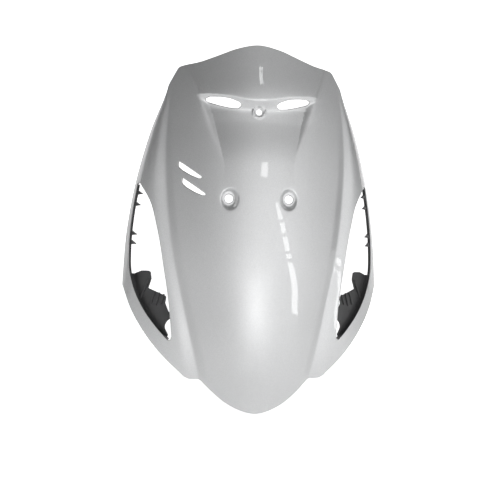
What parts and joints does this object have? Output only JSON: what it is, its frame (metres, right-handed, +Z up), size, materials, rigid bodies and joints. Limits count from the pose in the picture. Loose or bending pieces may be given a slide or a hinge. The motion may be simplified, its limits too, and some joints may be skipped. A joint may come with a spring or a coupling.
{
  "type": "scooter front cover",
  "caption": "Shield-shaped moulded front cover for a scooter with a raised visor over intake slots, recessed screw holes, side louvres and lamp openings in its wings.",
  "frame": {"origin": "midway between the main screw holes, on the plane of their seats", "axes": "+Z up along the cover, -Y out of the painted face, +X to the viewer's right"},
  "size_m": [0.3988, 0.1166, 0.538],
  "materials": {
    "painted_plastic": "silver paint with clear coat, bare inside"
  },
  "bodies": {
    "root": {"front_cover": "painted_plastic"}
  },
  "joints": []
}
